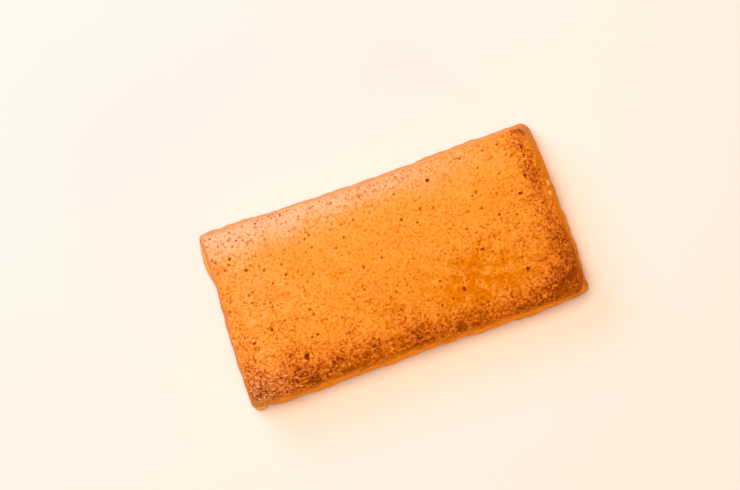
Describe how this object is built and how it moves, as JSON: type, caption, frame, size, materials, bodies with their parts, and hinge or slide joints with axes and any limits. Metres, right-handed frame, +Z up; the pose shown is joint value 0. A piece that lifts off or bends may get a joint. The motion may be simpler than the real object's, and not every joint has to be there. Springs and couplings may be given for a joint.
{
  "type": "financier cake",
  "caption": "Small oblong almond cake with a smooth shouldered face, walls leaning out to the foot and a golden crust browned along its edges.",
  "frame": {"origin": "on the table under the middle of the cake's box", "axes": "+X runs along the cake, +Y across it, and +Z is up, out of the face that was the floor of the tin"},
  "size_m": [0.086, 0.0448, 0.0167],
  "materials": {
    "baked_crust": "golden baked crust, fine grained, with a faint buttery sheen"
  },
  "bodies": {
    "root": {"financier_cake": "baked_crust"}
  },
  "joints": []
}
